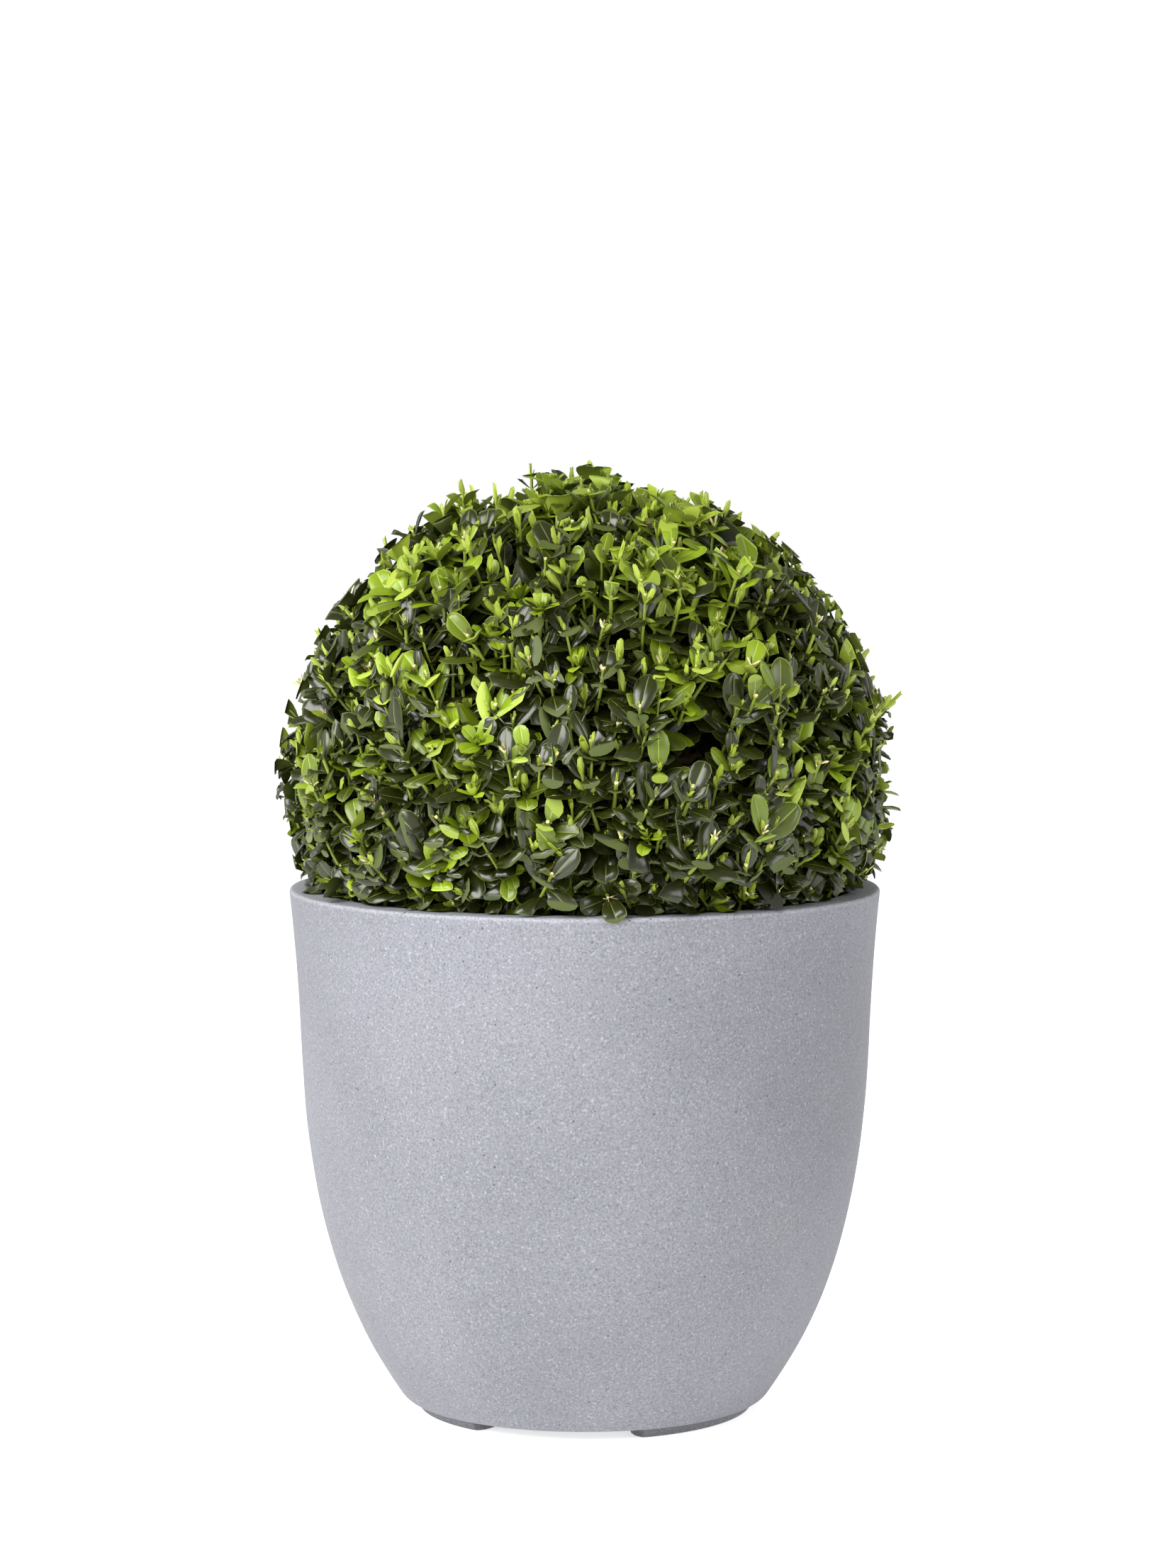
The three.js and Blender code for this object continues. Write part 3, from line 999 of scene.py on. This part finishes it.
def spray_rule():
    """Sets leaves on points, bends them, cuts them at the ball's surface and rests them on the rim."""
    rule = Rule("sprays", {
        "Leaf shapes": "Collection",
        "Ball centre": "Vector",
        **dict.fromkeys(("Cut edge", "Rim height", "Rim inside", "Rim outside"), "Float"),
        **dict.fromkeys(("Upper side", "Rib", "Underside"), "Material"),
    })
    along = rule.stored("along", "FLOAT_VECTOR")
    face = rule.stored("face", "FLOAT_VECTOR")
    size = rule.stored("size")
    picked = {"Collection": rule.given("Leaf shapes"), "Separate Children": True, "Reset Children": True}
    shapes = rule.node("GeometryNodeCollectionInfo", None, picked)
    axes = {"primary_axis": "Y", "secondary_axis": "Z"}
    turn = rule.node("FunctionNodeAxesToRotation", axes, {0: along, 1: face})
    leaves = rule.node("GeometryNodeInstanceOnPoints", None, {
        "Points": rule.given("Geometry"),
        "Instance": shapes,
        "Pick Instance": True,
        "Instance Index": rule.stored("shape", "INT"),
        "Rotation": turn,
        "Scale": size,
    })
    leaves = rule.node("GeometryNodeRealizeInstances", None, {"Geometry": leaves})

    share = rule.stored("length_share")
    sag = face * (share * share * size * rule.stored("curl") * -1.0)
    leaves = rule.moved(leaves, sag)

    place = rule.node("GeometryNodeInputPosition")
    out = place - rule.given("Ball centre")
    far = out.length()
    under = rule.stored("side", "INT") > 1.5
    reach = rule.stored("reach") + under * rule.given("Cut edge")
    steep = (along.dot(out) / far).at_least(0.4)
    cut = along * ((far - reach).at_least(0.0) / steep * -1.0)
    leaves = rule.moved(leaves, cut)

    height = rule.node("ShaderNodeSeparateXYZ", None, {0: place}, "Z")
    flat = (place * (1.0, 1.0, 0.0)).length()
    over_rim = (flat > rule.given("Rim inside")) * (flat < rule.given("Rim outside"))
    lift = (rule.given("Rim height") - height).at_least(0.0) * over_rim
    rise = rule.node("ShaderNodeCombineXYZ", None, {"Z": lift})
    leaves = rule.moved(leaves, rise)
    leaves = rule.node("GeometryNodeMergeByDistance", None, {"Geometry": leaves, "Distance": 0.02 * MM})

    for number, label in ((UPPER, "Upper side"), (RIB, "Rib"), (UNDER, "Underside")):
        settings = {"data_type": "INT", "operation": "EQUAL"}
        chosen = rule.node("FunctionNodeCompare", settings, {2: rule.stored("side", "INT"), 3: number})
        leaves = rule.dressed(leaves, rule.given(label), chosen)
    rule.end(leaves)
    return rule


# Colours of each tint: upper side, rib and underside with the pale edge, and how rough the upper side is.
TINTS = {
    # The first tint is the old leaves' darker green, made darker still as painted shade for the inside of
    # the ball.
    "deep": ((23, 26, 5), (58, 68, 29), (44, 53, 19), 0.26),
    "dark": ((34, 39, 6), (90, 100, 47), (64, 74, 26), 0.25),
    "olive": ((58, 68, 9), (110, 122, 48), (94, 106, 38), 0.29),
    "fresh": ((87, 104, 8), (134, 150, 52), (120, 136, 42), 0.33),
    "young": ((116, 138, 16), (158, 174, 70), (142, 158, 52), 0.38),
    "lime": ((138, 158, 30), (168, 182, 80), (170, 184, 70), 0.42),
    "bud": ((146, 162, 54), (160, 172, 78), (160, 172, 78), 0.45),
    "straw": ((206, 198, 150), (206, 198, 150), (206, 198, 150), 0.8),
    "withered": ((94, 72, 44), (112, 90, 58), (120, 98, 66), 0.7),
}
PIECE_TRIANGLES = 180_000


def triangles_of(mesh):
    return sum(len(polygon.vertices) - 2 for polygon in mesh.polygons)


def make_sprays(leaves):
    """One piece or more of leaves for each tint."""
    shapes, collection = make_leaf_shapes()
    names = list(shapes)
    weight = {name: triangles_of(shape.object.data) for name, shape in shapes.items()}
    rule = spray_rule()
    pieces = []
    for tint, (upper, rib, under, roughness) in TINTS.items():
        chosen = [leaf for leaf in leaves if leaf.tint == tint]
        total = sum(weight[leaf.shape] for leaf in chosen)
        parts = max(1, math.ceil(total / PIECE_TRIANGLES))
        values = {
            "Leaf shapes": collection,
            "Ball centre": BALL_CENTRE,
            "Cut edge": 0.5 * MM,
            "Rim height": RIM_Z + 0.7 * MM,
            "Rim inside": RIM_INNER_R - 1 * MM,
            "Rim outside": RIM_R + 1 * MM,
            "Upper side": plain_finish(tint + "_leaf", upper, roughness),
            "Rib": plain_finish(tint + "_rib", rib, 0.45),
            "Underside": plain_finish(tint + "_underside", under, 0.5, 0.35),
        }
        for part in range(parts):
            name = f"leaves_{tint}" + (f"_{part + 1}" if parts > 1 else "")
            points = leaf_points(name, chosen[part::parts], names)
            pieces.append(rule.run(name, points, values))
    for shape in shapes.values():
        bpy.data.objects.remove(shape.object)
    bpy.data.collections.remove(collection)
    return pieces


def leaf_points(name, leaves, names):
    """A mesh of bare points that carries each leaf's direction, size and shape."""
    mesh = mesh_of(name + "_points", [leaf.point for leaf in leaves], [], [])
    store(mesh, "shape", "INT", [names.index(leaf.shape) for leaf in leaves])
    for label in ("size", "reach", "curl"):
        store(mesh, label, "FLOAT", [getattr(leaf, label) for leaf in leaves])
    for label in ("along", "face"):
        vectors = np.array([getattr(leaf, label) for leaf in leaves], dtype=np.float32)
        store(mesh, label, "FLOAT_VECTOR", vectors.ravel())
    return mesh


# ---- wood ----


def limb_rule():
    """Gives limbs their thickness, and bark its relief."""
    rule = Rule("limbs", {
        "Sides": "Int",
        **dict.fromkeys(("Step", "Relief", "Grain"), "Float"),
        "Wood": "Material",
    })
    paths = rule.node("GeometryNodeMeshToCurve", None, {"Mesh": rule.given("Geometry")})
    stepped = {"Curve": paths, "Length": rule.given("Step")}
    resampled = rule.node("GeometryNodeResampleCurve", {"mode": "LENGTH"}, stepped)
    choice = {"False": paths, "True": resampled, "Switch": rule.given("Step") > 0.0}
    paths = rule.node("GeometryNodeSwitch", {"input_type": "GEOMETRY"}, choice)
    section = rule.node("GeometryNodeCurvePrimitiveCircle", None, {
        "Resolution": rule.given("Sides"),
        "Radius": 1.0,
    })
    tubes = {"Curve": paths, "Profile Curve": section, "Scale": rule.stored("thick"), "Fill Caps": True}
    wood = rule.node("GeometryNodeCurveToMesh", None, tubes)
    place = rule.node("GeometryNodeInputPosition") * (1.0, 1.0, 0.3)
    cracks = rule.noise(place, rule.given("Grain"), 3)
    relief = rule.node("GeometryNodeInputNormal") * ((cracks - 0.5) * rule.given("Relief"))
    wood = rule.node("GeometryNodeSetShadeSmooth", None, {"Geometry": rule.moved(wood, relief)})
    rule.end(rule.dressed(wood, rule.given("Wood")))
    return rule


def limb_paths(name, limbs):
    """Limbs as bare chains of edges, each vertex with its thickness."""
    verts = []
    edges = []
    radii = []
    for points, thick in limbs:
        start = len(verts)
        verts.extend(points)
        radii.extend(thick)
        edges.extend((start + i, start + i + 1) for i in range(len(points) - 1))
    mesh = mesh_of(name + "_paths", verts, edges, [])
    store(mesh, "thick", "FLOAT", radii)
    return mesh


def make_wood(limbs):
    rule = limb_rule()
    bark = bark_finish("box_bark")
    old = plain_finish("old_twig", (112, 98, 62), 0.8)
    green = plain_finish("green_twig", (120, 136, 40), 0.5)
    straw = plain_finish("cut_wood", (204, 192, 138), 0.8)
    kinds = {
        "stem_and_boughs": ("bough", 20, 1.5 * MM, 1.6 * MM, 380.0, bark),
        "branches": ("branch", 7, 0.0, 0.0, 1.0, old),
        "shoot_stems": ("twig", 5, 0.0, 0.0, 1.0, green),
        "cut_ends": ("stub", 6, 0.0, 0.0, 1.0, straw),
    }
    pieces = []
    for name, (kind, sides, step, relief, grain, finish) in kinds.items():
        values = {"Sides": sides, "Step": step, "Relief": relief, "Grain": grain, "Wood": finish}
        pieces.append(rule.run(name, limb_paths(name, limbs[kind]), values))
    return pieces


# ---- camera and light ----


def make_camera():
    lens = bpy.data.cameras.new("camera")
    lens.lens = CAMERA_LENS
    lens.clip_end = 50
    camera = linked("camera", lens)
    camera.location = CAMERA_PLACE
    camera.rotation_euler = (math.radians(90 - CAMERA_DOWN), 0, 0)
    bpy.context.scene.camera = camera


def make_light(name, place, size, power):
    """A square area light that shines on the plant."""
    lamp = bpy.data.lights.new(name, "AREA")
    lamp.shape = "RECTANGLE"
    lamp.size = size
    lamp.size_y = size
    lamp.energy = power
    light = linked(name, lamp)
    light.location = place
    light.rotation_euler = (LIGHT_AIM - Vector(place)).to_track_quat("-Z", "Y").to_euler()


def make_studio():
    """White floor and walls, a dim ceiling, a broad light at the front left, a weak one at the right."""
    world = bpy.data.worlds.new("studio")
    world.use_nodes = True
    room = Tree(world.node_tree)
    sky = next(n for n in world.node_tree.nodes if n.type == "BACKGROUND")
    way = room.node("ShaderNodeTexCoord", output="Generated")
    rise = room.node("ShaderNodeSeparateXYZ", None, {0: way}, "Z")
    walls = room.mix(room.ramp(rise, 0.22, 0.7), (1, 1, 1, 1), (0.28, 0.28, 0.28, 1))
    world.node_tree.links.new(walls.socket, sky.inputs["Color"])
    bpy.context.scene.world = world
    bpy.context.scene.view_settings.view_transform = "Standard"
    make_light("key", (-1.8, -1.9, 2.0), 2.3, 178)
    make_light("fill", (2.3, -1.5, 1.5), 1.5, 30)

    reach = 12
    corners = [(x * reach, y * reach, 0) for x, y in ((-1, -1), (1, -1), (1, 1), (-1, 1))]
    mesh = mesh_of("floor", corners, [], [(0, 1, 2, 3)])
    pale = Finish("pale_floor", Base_Color=rgb(245, 245, 245), Roughness=0.9, Emission_Strength=0.6)
    pale.shader.inputs["Emission Color"].default_value = (1, 1, 1, 1)
    mesh.materials.append(pale.material)
    linked("floor", mesh)


# ---- assembly ----

make_camera()
make_studio()

clay = clay_finish("fibre_clay", rgb(117, 118, 125), rgb(109, 110, 116))
# The feet get a darker copy of the planter's clay: painted shade, for feet that sit in shade under the
# planter.
foot_clay = clay_finish("foot_clay", rgb(88, 89, 95), rgb(78, 79, 85))
earth = compost_finish("damp_compost")
planter = make_planter(clay)
feet = make_feet(foot_clay)
bed = make_compost(earth)
crumbs = make_crumbs(earth)

growth = Growth(SEED)
growth.grow(shoot_tips(growth.rng))
wood = make_wood(growth.limbs)
sprays = make_sprays(growth.leaves)

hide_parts("planter")
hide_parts("planter_foot_1", "planter_foot_2", "planter_foot_3")
for piece in (bed, crumbs):
    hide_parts("compost")
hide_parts("main_stem")
for piece in sprays:
    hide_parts("crown")
for piece in (planter, feet, bed, crumbs, *wood, *sprays):
    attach(piece, "root")
